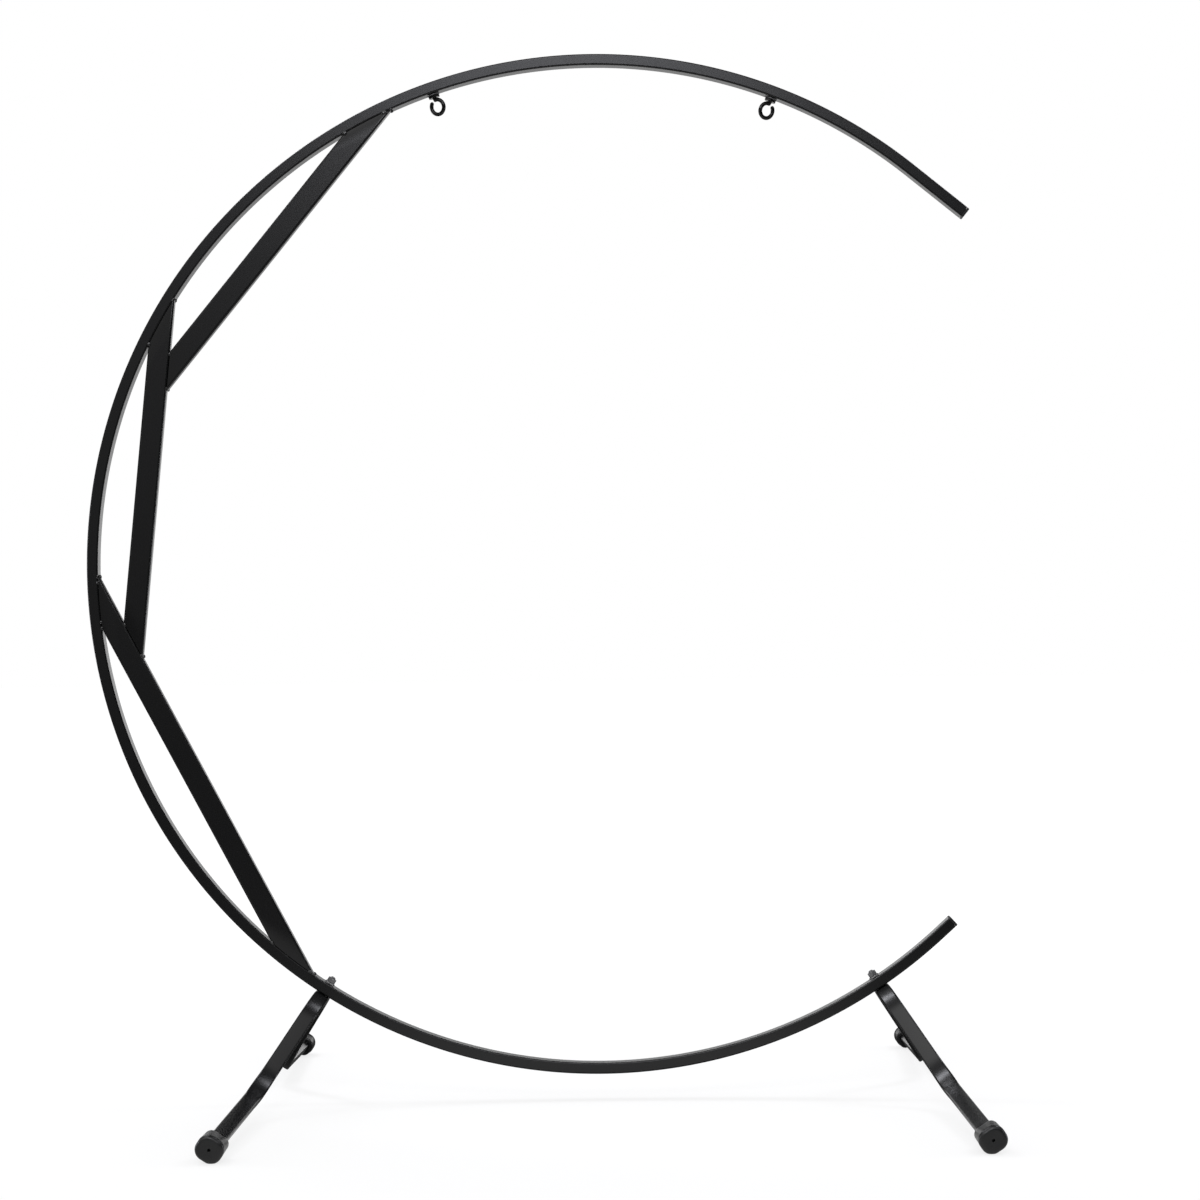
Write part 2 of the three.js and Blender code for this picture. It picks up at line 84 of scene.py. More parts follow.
# Braces. The edges at their ends are drawn in within BRACE_CUT_EDGE, which leaves a groove at each seam.
BRACE_DIRECTIONS = {"upper_brace": -50.7, "middle_brace": -84.2, "lower_brace": -117.7}
BRACE_EDGE = RING_INNER * 0.89
BRACE_WIDTH = 26.0
BRACE_DEPTH = 14.0
BRACE_CORNER = 2.5
BRACE_WALL = 1.5
BRACE_SEAM = 0.25
BRACE_CUT_EDGE = 1.0
BRACE_CUT_DRAW = 1.1

# Welds of each brace at its upper end (far) and its lower one (near). A bead has its share of the way from
# the brace's outer edge to its inner one, its length and its width.
BEADS = {
    "upper_brace": {"far": ((0.03, 5.6, 5.0), (0.84, 7.0, 4.2), (0.99, 4.0, 3.2)),
                    "near": ((0.08, 4.2, 3.4), (0.95, 4.0, 3.4))},
    "middle_brace": {"far": ((0.03, 4.6, 3.8), (0.96, 5.4, 3.8)),
                     "near": ((0.08, 4.4, 3.4), (0.97, 5.0, 3.6))},
    "lower_brace": {"far": ((0.97, 5.2, 4.0), (0.85, 4.2, 3.6), (0.12, 4.0, 3.4), (0.02, 4.2, 3.6)),
                    "near": ((0.03, 5.0, 4.0), (0.9, 5.2, 3.6), (0.99, 4.0, 3.4))},
}
BEAD_FRONT_HEIGHT = 1.3
BEAD_REAR_HEIGHT = 2.2

# Legs. Each side has its sign along X and its toe angle. A bend has its reach, its drop and its radius.
LEG_SIDES = {"left": (-1, 0.2), "right": (1, 1.2)}
LEG_DIRECTION = 33.2
LEG_WIDTH = 18.0
LEG_THICKNESS = 12.0
LEG_CORNER = 2.0
LEG_WALL = 1.5
LEG_CROWN = 0.25
LEG_SHOULDER = (38.0, 0.0, 56.0)
LEG_ANKLE = (116.0, 113.0, 80.0)
LEG_BEND_STEPS = 14
LEG_REACH = 431.0
FOOT_RUN = LEG_REACH - LEG_ANKLE[0]
FOOT_DROP = 16.0

# A bent tube spreads at its ankle and gets thinner there, over a length on each side.
ANKLE_SPREAD = 1.3
ANKLE_THINNING = 0.5
ANKLE_LENGTH = 26.0

# Caps. Sizes are (width, height, corner). Rings have their distance behind the face after their size. The
# dish's rings are (share of the face, distance behind it), and the dimple's (radius, distance behind it).
CAP_LENGTH = 38.0
CAP_SOCKET = 27.0
CAP_SOCKET_RINGS = ((10, 5, 2.4, CAP_LENGTH - CAP_SOCKET), (18.4, 12.4, 2.2, CAP_LENGTH - CAP_SOCKET),
                    (18.5, 12.5, 2.25, CAP_LENGTH - CAP_SOCKET + 0.4), (18.6, 12.6, 2.3, CAP_LENGTH - 1.0),
                    (19.2, 13.2, 2.6, CAP_LENGTH - 0.3))
CAP_MOUTH = np.array([28.0, 22.5, 8.0])
CAP_MOUTH_EDGE = 1.8
CAP_SLEEVE_RUN = 27.3
CAP_SLEEVE_GROWTH = np.array([1.1, 4.0, 3.2])
CAP_GROOVE_RINGS = ((27.9, 25.3, 10.8, 8.6), (28.0, 25.5, 10.9, 8.1))
CAP_PAD = np.array([30.0, 28.0, 12.0])
CAP_PAD_LENGTH = 7.9
CAP_PAD_REAR_EDGE = 0.7
CAP_PAD_FRONT_EDGE = 4.2
CAP_DISH = ((0.8, 0.05), (0.6, 0.16), (0.4, 0.24), (0.2, 0.28))
CAP_DIMPLE = ((2.0, 0.30), (1.75, 0.45), (1.6, 0.9), (1.6, 5.6), (1.2, 6.0))

# Leg bolts, washers and nuts. The head's rings are (corner radius, height above the leg).
BOLT_RADIUS = 3.0
BOLT_HOLE = 6.6
BOLT_THREAD = 11.0
BOLT_TIP = 2.0
BOLT_HEAD = ((4.6, 4.0), (5.35, 3.65), (6.0, 3.1), (6.0, 0.45), (5.3, 0.1), (4.9, 0.0))
WASHER_RADIUS = 6.25
WASHER_THICKNESS = 1.6
WASHER_EDGE = 0.3
NUT_FLATS = 10
NUT_HEIGHT = 5
NUT_BORE = 3.3
THREAD_TIP = 0.7
HEX_SIDE_POINTS = 8

# Hooks, their inserts and lock nuts. Each side has its sign along X and its direction.
HOOKS = {"left": (-1, -18.5), "right": (1, 21.2)}
HOOK_TURN = 32.0
HOOK_EYE = 21.8
HOOK_WIRE = 4.6
HOOK_SHANK = 5.0
HOOK_MOUTH = 46.0
HOOK_STEPS = 80
WIRE_SIDES = 18
INSERT_RADIUS = 4.5
INSERT_HOLE = 9.6
INSERT_BORE = 2.8
FLANGE_RADIUS = 7.3
FLANGE_THICKNESS = 1.2
LOCK_NUT_FLATS = 13
LOCK_NUT_HEIGHT = 2.8

# Finishes: a material's name and the values of its surface group, bump and shader
FINISHES = {
    "powder": ("satin black powder coat", {
        "Base Color": (0.0042, 0.0042, 0.0044, 1.0), "Roughness": 0.27, "Roughness Spread": 0.015,
        "Uneven": 0.35, "Grain Scale": 1300.0, "Ripple Scale": 420.0, "Ripple Share": 0.2,
        "Strength": 0.02, "Distance": 0.0004, "Specular IOR Level": 0.4,
    }),
    "plug": ("moulded black plastic", {
        "Base Color": (0.009, 0.009, 0.009, 1.0), "Roughness": 0.45, "Roughness Spread": 0.12,
        "Uneven": 0.25, "Grain Scale": 2200.0, "Ripple Scale": 700.0,
        "Strength": 0.12, "Distance": 0.0003,
    }),
    "rubber": ("black rubber", {
        "Base Color": (0.0045, 0.0045, 0.0047, 1.0), "Roughness": 0.36, "Roughness Spread": 0.15,
        "Uneven": 0.5, "Grain Scale": 1500.0, "Ripple Scale": 260.0, "Dust": 0.012,
        "Strength": 0.1, "Distance": 0.0004, "Specular IOR Level": 0.5,
    }),
    "hardware": ("blackened steel", {
        "Base Color": (0.15, 0.15, 0.152, 1.0), "Roughness": 0.34, "Roughness Spread": 0.25,
        "Uneven": 0.6, "Grain Scale": 1800.0, "Ripple Scale": 500.0,
        "Strength": 0.1, "Distance": 0.0003, "Metallic": 0.4,
    }),
    "washer": ("worn steel", {
        "Base Color": (0.3, 0.3, 0.3, 1.0), "Roughness": 0.3, "Roughness Spread": 0.25,
        "Uneven": 0.6, "Grain Scale": 1800.0, "Ripple Scale": 500.0,
        "Strength": 0.1, "Distance": 0.0003, "Metallic": 0.6,
    }),
    "weld": ("coated weld", {
        "Base Color": (0.006, 0.006, 0.006, 1.0), "Roughness": 0.14, "Roughness Spread": 0.05,
        "Uneven": 0.4, "Grain Scale": 1300.0, "Ripple Scale": 420.0,
        "Strength": 0.05, "Distance": 0.0003, "Specular IOR Level": 0.7, "Coat Weight": 0.3,
        "Coat Roughness": 0.08,
    }),
    "gloss": ("gloss black enamel", {
        "Base Color": (0.004, 0.004, 0.004, 1.0), "Roughness": 0.2, "Roughness Spread": 0.08,
        "Uneven": 0.2, "Grain Scale": 1200.0, "Ripple Scale": 350.0,
        "Strength": 0.05, "Distance": 0.0003, "Specular IOR Level": 0.4,
    }),
}

# Lamps: place and target in metres, width, height and power in watts
LAMPS = {
    "front_box": ((-0.05, -3.7, 2.45), (0.05, 0, 0.7), 1.0, 1.2, 30.0),
    "left_box": ((-1.0, 0.8, 2.15), (0.4, 0, 0.12), 0.45, 0.8, 13.0),
    "right_box": ((1.45, 0.45, 2.15), (-0.25, 0, 0.12), 0.45, 0.8, 10.0),
    "left_strip": ((-2.3, 0.1, 0.55), (0.4, 0, 0.3), 0.25, 0.9, 10.0),
    "right_strip": ((2.5, 0.1, 0.55), (-0.3, 0, 0.3), 0.25, 0.9, 10.0),
}
LAMP_COLOUR = (0.93, 0.94, 1.0)
WHITE = (1.0, 1.0, 1.0, 1.0)
FLOOR_COLOUR = (0.86, 0.86, 0.86, 1.0)
FLOOR_SIZE = 40.0
FLOOR_HEIGHT = -0.0004
FLOOR_WHITE_SHARE = 0.72


# ---------------------------------------------------------------- camera

def make_camera():
    """The photograph's camera: 3.6 m in front of the ring, level, and rolled a little."""
    data = bpy.data.cameras.new("camera")
    data.lens = CAMERA_LENS
    data.sensor_fit = "HORIZONTAL"
    data.sensor_width = CAMERA_SENSOR
    data.shift_x = CAMERA_SHIFT[0] / PHOTO_SIZE
    data.shift_y = CAMERA_SHIFT[1] / PHOTO_SIZE
    data.clip_end = 100.0
    camera = bpy.data.objects.new("camera", data)
    bpy.context.scene.collection.objects.link(camera)
    camera.location = Vector(CENTRE + CAMERA_FROM_CENTRE) * MM
    roll = math.radians(CAMERA_ROLL)
    up = Vector((math.sin(roll), 0, math.cos(roll)))
    ahead = Vector((0, 1, 0))
    right = ahead.cross(up)
    camera.rotation_euler = Matrix((right, up, -ahead)).transposed().to_euler()
    bpy.context.scene.camera = camera


# ---------------------------------------------------------------- meshes

def volume(points, faces):
    """Six times the signed volume: the sum of a . (b x c) over the faces' fans of triangles."""
    total = 0.0
    for size in {len(f) for f in faces}:
        f = np.array([f for f in faces if len(f) == size])
        for k in range(1, size - 1):
            a, b, c = points[f[:, 0]], points[f[:, k]], points[f[:, k + 1]]
            total += np.einsum("ij,ij->", a, np.cross(b, c))
    return total


def make_piece(name, points, faces, material, sharp=32.0):
    """A mesh object at the origin from points in the row frame, with its faces turned outwards."""
    points = np.asarray(points, float)
    if volume(points - points.mean(0), faces) < 0:
        faces = [tuple(reversed(f)) for f in faces]
    mesh = bpy.data.meshes.new(name)
    mesh.from_pydata((points * MM).tolist(), [], [tuple(map(int, f)) for f in faces])
    mesh.polygons.foreach_set("use_smooth", np.ones(len(mesh.polygons), bool))
    mesh.set_sharp_from_angle(angle=math.radians(sharp))
    mesh.materials.append(material)
    mesh.update()
    piece = bpy.data.objects.new(name, mesh)
    bpy.context.scene.collection.objects.link(piece)
    return piece


def band_faces(rows, around, closed_rows=False):
    """Quads between neighbouring rows of a grid whose rows are closed rings of points."""
    i = np.arange(rows if closed_rows else rows - 1)[:, None]
    j = np.arange(around)[None, :]
    k = (i + 1) % rows
    m = (j + 1) % around
    quads = np.stack([i * around + j, i * around + m, k * around + m, k * around + j], -1)
    return quads.reshape(-1, 4).tolist()


def loft(grid):
    """Points and faces of rings of points joined in order. The first and last ring are closed by a face."""
    rows, around = grid.shape[:2]
    faces = band_faces(rows, around)
    faces.append(tuple(range(around)))
    faces.append(tuple(range((rows - 1) * around, rows * around)))
    return grid.reshape(-1, 3), faces


def looped(grid):
    """Points and faces of rings of points joined in order, and the last one to the first."""
    rows, around = grid.shape[:2]
    return grid.reshape(-1, 3), band_faces(rows, around, closed_rows=True)


def walled(outer, inner):
    """Points and faces of a tube with a wall: the outer rings in order, then the inner ones backwards."""
    return looped(np.concatenate([outer, inner[::-1]]))


def joined(parts):
    """Several bodies of points and faces as one list of each."""
    points, faces, start = [], [], 0
    for p, f in parts:
        points.append(p)
        faces += [tuple(start + k for k in face) for face in f]
        start += len(p)
    return np.concatenate(points), faces


def rounded_section(width, height, radius, arc, flat):
    """A rectangle with round corners, anticlockwise from the upper end of its right side, as (n, 2) points.

    A corner is a quarter circle about (w/2 - r, h/2 - r) in arc steps. Each flat side has flat spans, and
    one more point near each of its ends.
    """
    near, most = 0.25, 0.3 / flat
    x, y = width / 2 - radius, height / 2 - radius
    signs = ((1, 1), (-1, 1), (-1, -1), (1, -1))
    points = []
    for k, (sx, sy) in enumerate(signs):
        t = np.radians(90 * k) + np.linspace(0, math.pi / 2, arc + 1)
        corner = np.stack([sx * x + radius * np.cos(t), sy * y + radius * np.sin(t)], -1)
        nx, ny = signs[(k + 1) % 4]
        end = np.array([nx * x, ny * y]) + radius * np.array([math.cos(t[-1]), math.sin(t[-1])])
        close = min(near / np.linalg.norm(end - corner[-1]), most)
        stops = np.concatenate([[close], np.linspace(0, 1, flat + 1)[1:-1], [1 - close]])
        points += [corner, corner[-1] + stops[:, None] * (end - corner[-1])]
    return np.concatenate(points)


def disc_ring(radius, height, sides):
    """Points of a circle round the Z axis at a height."""
    t = np.linspace(0, 2 * math.pi, sides, endpoint=False)
    return np.stack([radius * np.cos(t), radius * np.sin(t), 0 * t + height], -1)


def turned(profile, sides):
    """A profile of (radius, height) points turned about the Z axis, as rings of points."""
    return np.stack([disc_ring(r, h, sides) for r, h in profile])


def hex_ring(flats, round_radius, height):
    """A hexagon cut by a circle: at each angle the lesser of the flat's distance / cos and the circle."""
    t = np.linspace(0, 2 * math.pi, 6 * HEX_SIDE_POINTS, endpoint=False)
    from_flat = (t + math.pi / 6) % (math.pi / 3) - math.pi / 6
    r = np.minimum(flats / 2 / np.cos(from_flat), round_radius)
    return np.stack([r * np.cos(t), r * np.sin(t), 0 * t + height], -1)


def radial(points, direction):
    """Points whose +Z points away from the ring's centre in the direction, brought into the row frame."""
    a = math.radians(direction)
    x, y, z = np.moveaxis(np.asarray(points, float), -1, 0)
    return np.stack([x * math.cos(a) + z * math.sin(a), y, z * math.cos(a) - x * math.sin(a)], -1) + CENTRE


def combined(piece, others, operation="DIFFERENCE"):
    """The piece with each other body taken out of it or joined with it, as its own mesh."""
    for cutter in others:
        cut = piece.modifiers.new("combine", "BOOLEAN")
        cut.operation = operation
        cut.solver = "EXACT"
        cut.object = cutter
    depsgraph = bpy.context.evaluated_depsgraph_get()
    mesh = bpy.data.meshes.new_from_object(piece.evaluated_get(depsgraph))
    piece.modifiers.clear()
    old = piece.data
    piece.data = mesh
    mesh.name = old.name
    bpy.data.meshes.remove(old)
    for cutter in others:
        bpy.data.meshes.remove(cutter.data)
    return piece


def drill(diameter, low, high, direction, material):
    """A round cutter on a direction from the ring's centre."""
    grid = radial(turned([(diameter / 2, low), (diameter / 2, high)], 32), direction)
    return make_piece("drill", *loft(grid), material)


def bolt_direction(name):
    """The direction of a leg's bolt from the ring's centre."""
    return 180 - LEG_SIDES[name][0] * LEG_DIRECTION


def finish_piece(piece, body, slot, *nodes):
    """The piece rides on its body and stands for its nodes. Its slot is not used."""
    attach(piece, body)
    if nodes:
        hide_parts(*nodes)
    return piece


# ---------------------------------------------------------------- materials

def add_node(tree, kind, **settings):
    """A node with its inputs or its own settings set by name."""
    node = tree.nodes.new(kind)
    for key, value in settings.items():
        if key in node.inputs:
            node.inputs[key].default_value = value
        else:
            setattr(node, key, value)
    return node


def math_node(tree, operation, *values):
    """The result of a math node. Each value is a number or another node's result."""
    node = tree.nodes.new("ShaderNodeMath")
    node.operation = operation
    for socket, value in zip(node.inputs, values):
        if isinstance(value, (int, float)):
            socket.default_value = value
        else:
            tree.links.new(value, socket)
    return node.outputs[0]


def surface_group():
    """Node group of a coated surface, made from a broad, a middle, a grain and a ripple noise.

    Colour = base x (1 + uneven x (broad - 0.5) + uneven x (grain - 0.5)) + max(dust x (middle - 0.45), 0);
    roughness = base + spread x (middle - 0.5); height = grain + share x ripple.
    """
    group = bpy.data.node_groups.new("coated surface", "ShaderNodeTree")
    face = group.interface
    face.new_socket(name="Base Color", in_out="INPUT", socket_type="NodeSocketColor")
    for label, value in (
        ("Roughness", 0.5), ("Roughness Spread", 0.1), ("Uneven", 0.2), ("Grain Scale", 900.0),
        ("Ripple Scale", 250.0), ("Ripple Share", 0.5), ("Dust", 0.0),
    ):
        socket = face.new_socket(name=label, in_out="INPUT", socket_type="NodeSocketFloat")
        socket.default_value = value
    for label, kind in (("Color", "Color"), ("Roughness", "Float"), ("Height", "Float")):
        face.new_socket(name=label, in_out="OUTPUT", socket_type=f"NodeSocket{kind}")
    given = group.nodes.new("NodeGroupInput").outputs
    result = group.nodes.new("NodeGroupOutput").inputs
    place = group.nodes.new("ShaderNodeTexCoord").outputs["Object"]
    link = group.links.new

    def noise(scale, detail):
        node = add_node(group, "ShaderNodeTexNoise", Detail=detail, Roughness=0.55)
        link(place, node.inputs["Vector"])
        if isinstance(scale, str):
            link(given[scale], node.inputs["Scale"])
        else:
            node.inputs["Scale"].default_value = scale
        return node.outputs["Fac"]

    broad = noise(9.0, 3.0)
    middle = noise(60.0, 4.0)
    grain = noise("Grain Scale", 2.0)
    ripple = noise("Ripple Scale", 2.0)
    patches = math_node(group, "SUBTRACT", broad, 0.5)
    speck = math_node(group, "SUBTRACT", grain, 0.5)
    shade = math_node(group, "MULTIPLY_ADD", patches, given["Uneven"], 1.0)
    shade = math_node(group, "MULTIPLY_ADD", speck, given["Uneven"], shade)
    tint = add_node(group, "ShaderNodeVectorMath", operation="SCALE")
    link(given["Base Color"], tint.inputs[0])
    link(shade, tint.inputs["Scale"])
    dust = math_node(group, "MULTIPLY", math_node(group, "SUBTRACT", middle, 0.45), given["Dust"])
    add = add_node(group, "ShaderNodeVectorMath", operation="ADD")
    link(tint.outputs[0], add.inputs[0])
    link(math_node(group, "MAXIMUM", dust, 0.0), add.inputs[1])
    link(add.outputs[0], result["Color"])
    spread = math_node(group, "SUBTRACT", middle, 0.5)
    link(math_node(group, "MULTIPLY_ADD", spread, given["Roughness Spread"], given["Roughness"]),
         result["Roughness"])
    link(math_node(group, "MULTIPLY_ADD", ripple, given["Ripple Share"], grain), result["Height"])
    return group


def coated(group, name, values):
    """A material whose colour, roughness and bump come from the coated surface group.

    Each value goes to the input of its name, on the group, the bump or the shader.
    """
    material = bpy.data.materials.new(name)
    material.use_nodes = True
    tree = material.node_tree
    shader = tree.nodes["Principled BSDF"]
    surface = tree.nodes.new("ShaderNodeGroup")
    surface.node_tree = group
    relief = tree.nodes.new("ShaderNodeBump")
    for key, value in values.items():
        node = next(n for n in (surface, relief, shader) if key in n.inputs)
        node.inputs[key].default_value = value
    tree.links.new(surface.outputs["Color"], shader.inputs["Base Color"])
    tree.links.new(surface.outputs["Roughness"], shader.inputs["Roughness"])
    tree.links.new(surface.outputs["Height"], relief.inputs["Height"])
    tree.links.new(relief.outputs["Normal"], shader.inputs["Normal"])
    return material


def make_finishes():
    group = surface_group()
    return {key: coated(group, name, values) for key, (name, values) in FINISHES.items()}


# ---------------------------------------------------------------- ring, plugs and braces

def ring_section(inset, corner):
    """The ring's section drawn in by an inset, as (depth, distance outside the middle line) points."""
    return rounded_section(RING_DEPTH - 2 * inset, RING_THICKNESS - 2 * inset, corner, arc=7, flat=2)


def on_ring(depth, b, angle, run):
    """Points at b outside the ring's middle line: (middle radius + b) u(angle) + run t(angle) + depth y."""
    x = (RING_MIDDLE + b) * np.cos(angle) - run * np.sin(angle)
    z = (RING_MIDDLE + b) * np.sin(angle) + run * np.cos(angle)
    return np.stack([x, depth + 0 * x, z], -1) + CENTRE


def ring_rows(section):
    """The section carried round the ring.

    On the bend run is 0. On the straight ends the angle stays and run grows to the end's length.
    """
    first = math.radians(RING_BEND["upper"])
    last = 2 * math.pi + math.radians(RING_BEND["lower"])
    bend = np.linspace(first, last, RING_BEND_STEPS + 1)
    upper, lower = RING_STRAIGHT["upper"], RING_STRAIGHT["lower"]
    lead = np.array([upper, upper - RING_CUT_EDGE, upper / 2])
    tail = np.array([lower - RING_CUT_EDGE, lower])
    angle = np.concatenate([np.full(len(lead), first), bend, np.full(len(tail), last)])[:, None]
    run = np.concatenate([-lead, np.zeros(len(bend)), tail])[:, None]
    return on_ring(section[:, 0][None], section[:, 1][None], angle, run)


def make_ring(material):
    """The ring's tube, walled, with its bolt holes right through and its insert holes in the inner wall."""
    outer = ring_section(0.0, RING_CORNER)
    inner = ring_section(RING_WALL, RING_CORNER - RING_WALL)
    ring = make_piece("ring_tube", *walled(ring_rows(outer), ring_rows(inner)), material)
    low = RING_INNER - CUT_OVERRUN
    cutters = [
        drill(BOLT_HOLE, low, RING_OUTER + CUT_OVERRUN, bolt_direction(name), material) for name in LEG_SIDES
    ]
    cutters += [drill(INSERT_HOLE, low, RING_MIDDLE, direction, material) for _, direction in HOOKS.values()]
    combined(ring, cutters)
    return finish_piece(ring, "frame", "powder_coat", "c_frame_tube")


def make_plug(name, material):
    """A ring end's plug: a head with a quarter-round edge and a grooved shank inside the tube."""
    direction = RING_BEND[name]
    end = 1 if direction > 0 else -1
    rows = []

    def ring(inset, corner, height):
        section = ring_section(inset, corner)
        rows.append(np.column_stack([section, np.full(len(section), height)]))

    for k in range(7):
        a = math.radians(15 * k)
        inset = PLUG_EDGE * (1 - math.sin(a))
        ring(inset, RING_CORNER - inset * 0.8, -PLUG_HEAD + PLUG_EDGE * (1 - math.cos(a)))
    ring(0.0, RING_CORNER, -0.15)
    ring(0.2, RING_CORNER - 0.2, 0.0)
    for height, shrink in PLUG_SHANK:
        ring(RING_WALL + PLUG_SLACK + shrink / 2, PLUG_SHANK_CORNER, height)
    depth, b, along = np.moveaxis(np.stack(rows), -1, 0)
    run = -end * (RING_STRAIGHT[name] + GAP) + end * along
    grid = on_ring(depth, b, math.radians(direction), run)
    plug = make_piece(f"{name}_plug", *loft(grid), material)
    return finish_piece(plug, "frame", "plug_plastic", f"{name}_end_plug")


def brace_place(name):
    """A brace's direction, and the turn from it to the next brace below, or 0 without one."""
    names = list(BRACE_DIRECTIONS)
    k = names.index(name)
    direction = BRACE_DIRECTIONS[name]
    return direction, (BRACE_DIRECTIONS[names[k + 1]] - direction if k + 1 < len(names) else 0)


def brace_ends(z, to_next):
    """Where a brace starts and stops along its own length, at a distance z from the ring's centre.

    Both ends meet the ring's inner circle, x = +-sqrt(r^2 - z^2). A brace whose neighbour lies to_next
    degrees on stops earlier, at the line x sin(to_next) + z cos(to_next) = the neighbour's inner edge.
    """
    far = np.sqrt((RING_INNER - BRACE_SEAM) ** 2 - z ** 2)
    near = -far
    if to_next:
        a = math.radians(to_next)
        near = np.maximum(near, (BRACE_EDGE - BRACE_SEAM - z * math.cos(a)) / math.sin(a))
    return near, far


def brace_rows(wall, draw, to_next):
    """Rings of a brace's section from its lower end to its upper one, at a depth of wall below its outside.

    Near each end the section draws in by a quarter round, where the cut edge leaves a groove: at an angle a
    from 0 to 90, it is drawn in by draw (1 - sin a) at edge (1 - cos a) from the end.
    """
    turn = np.radians(np.linspace(0, 90, 5))
    edge = list(zip(draw * (1 - np.sin(turn)), BRACE_CUT_EDGE * (1 - np.cos(turn))))
    spans = np.linspace(0, 1, 11)[1:-1]
    rings = [(0, *e) for e in edge] + [(t, 0.0, BRACE_CUT_EDGE) for t in spans] + [(1, *e) for e in edge[::-1]]
    rows = []
    for end, inset, distance in rings:
        less = 2 * (wall + inset)
        corner = BRACE_CORNER - wall - 0.6 * inset
        section = rounded_section(BRACE_DEPTH - less, BRACE_WIDTH - less, corner, arc=5, flat=14)
        depth = section[:, 0] + (BRACE_DEPTH - RING_DEPTH) / 2
        z = section[:, 1] + BRACE_EDGE + BRACE_WIDTH / 2
        near, far = brace_ends(z, to_next)
        x = near + distance + end * (far - near - 2 * distance)
        rows.append(np.stack([x, depth, z], -1))
    return np.stack(rows)


def make_brace(name, material):
    direction, to_next = brace_place(name)
    outer = radial(brace_rows(0.0, BRACE_CUT_DRAW, to_next), direction)
    inner = radial(brace_rows(BRACE_WALL, 0.0, to_next), direction)
    brace = make_piece(f"{name}_tube", *walled(outer, inner), material)
    return finish_piece(brace, "frame", "powder_coat", name)


def bead(centre, along, up, length, width, height, seed):
    """A weld bead: rings across its length, each half as wide and high as it is from its ends.

    At an angle a from 0 to 180 along it, the share is sin(a)^0.7, with six small ripples across the bead.
    """
    along = along / np.linalg.norm(along)
    across = np.cross(along, up)
    a = np.linspace(0.04, math.pi - 0.04, 22)[:, None, None]
    t = np.linspace(0, 2 * math.pi, 20, endpoint=False)[None, :, None]
    ripple = 1 + 0.07 * np.sin(6 * a + seed) + 0.06 * np.sin(2 * t + 1.7 * seed)
    share = np.sin(a) ** 0.7 * ripple
    spine = -np.cos(a) * length / 2 * along
    return centre + spine + share * (np.cos(t) * across * width / 2 + np.sin(t) * up * height)


def make_welds(name, material):
    """The short welds that hold a brace, on its front and back seams, each where the brace's end passes."""
    direction, to_next = brace_place(name)
    faces = ((-1, -RING_DEPTH / 2, BEAD_FRONT_HEIGHT), (1, BRACE_DEPTH - RING_DEPTH / 2, BEAD_REAR_HEIGHT))
    parts = []
    for end, beads in BEADS[name].items():
        for i, (share, length, width) in enumerate(beads):
            for face, depth, height in faces:
                z = np.array([0.0, 0.5]) + BRACE_EDGE + BRACE_WIDTH * (1 - share)
                x = brace_ends(z, to_next)[end == "far"]
                seam = np.array([x[1] - x[0], 0.0, z[1] - z[0]])
                grid = bead(np.array([x[0], depth, z[0]]), seam, np.array([0.0, face, 0.0]),
                            length, width, height, i + 2 * face + 3 * share)
                parts.append(loft(radial(grid, direction)))
    welds = make_piece(f"{name}_welds", *joined(parts), material, sharp=80.0)
    return finish_piece(welds, "frame", "powder_coat")


# ---------------------------------------------------------------- legs and caps

def leg_line(end_reach):
    """Half of a bow's middle line as (reach, height), from its middle to one end.

    Straight runs meet at corners, each replaced by an arc of its radius that touches both runs.
    """
    base = -LEG_THICKNESS / 2
    corners = [(np.array([reach, base - drop]), radius) for reach, drop, radius in (LEG_SHOULDER, LEG_ANKLE)]
    fall = (end_reach - LEG_ANKLE[0]) * FOOT_DROP / FOOT_RUN
    end = np.array([end_reach, base - LEG_ANKLE[1] - fall])
    line = [np.array([0.0, base])]
    for i, (corner, radius) in enumerate(corners):
        before = corners[i - 1][0] if i else line[0]
        after = corners[i + 1][0] if i + 1 < len(corners) else end
        towards = (corner - before) / np.linalg.norm(corner - before)
        away = (after - corner) / np.linalg.norm(after - corner)
        turn = math.acos(float(towards @ away))
        side = math.copysign(1.0, towards[0] * away[1] - towards[1] * away[0])
        start = corner - towards * radius * math.tan(turn / 2)
        inward = np.array([-towards[1], towards[0]]) * side
        centre = start + inward * radius
        straight = np.linspace(0, 1, 8)[1:-1, None]
        line.extend(line[-1] + straight * (start - line[-1]))
        for a in np.linspace(0, side * turn, LEG_BEND_STEPS + 1):
            r = start - centre
            line.append(centre + np.array([r[0] * math.cos(a) - r[1] * math.sin(a),
                                           r[0] * math.sin(a) + r[1] * math.cos(a)]))
    straight = np.linspace(0, 1, 30)[1:, None]
    line.extend(line[-1] + straight * (end - line[-1]))
    return np.array(line)


def to_leg(points, side, toe):
    """Points of a leg's own frame, with its seat on z = 0, brought into the row frame."""
    lean = math.radians(side * LEG_DIRECTION)
    turn = math.radians(side * toe)
    seat = (RING_OUTER + GAP) * np.array([math.sin(lean), 0, -math.cos(lean)])
    x, y, z = np.moveaxis(np.asarray(points, float), -1, 0)
    x, z = x * math.cos(lean) - z * math.sin(lean), z * math.cos(lean) + x * math.sin(lean)
    x, y = x * math.cos(turn) - y * math.sin(turn), y * math.cos(turn) + x * math.sin(turn)
    return np.stack([x, y, z], -1) + seat + CENTRE


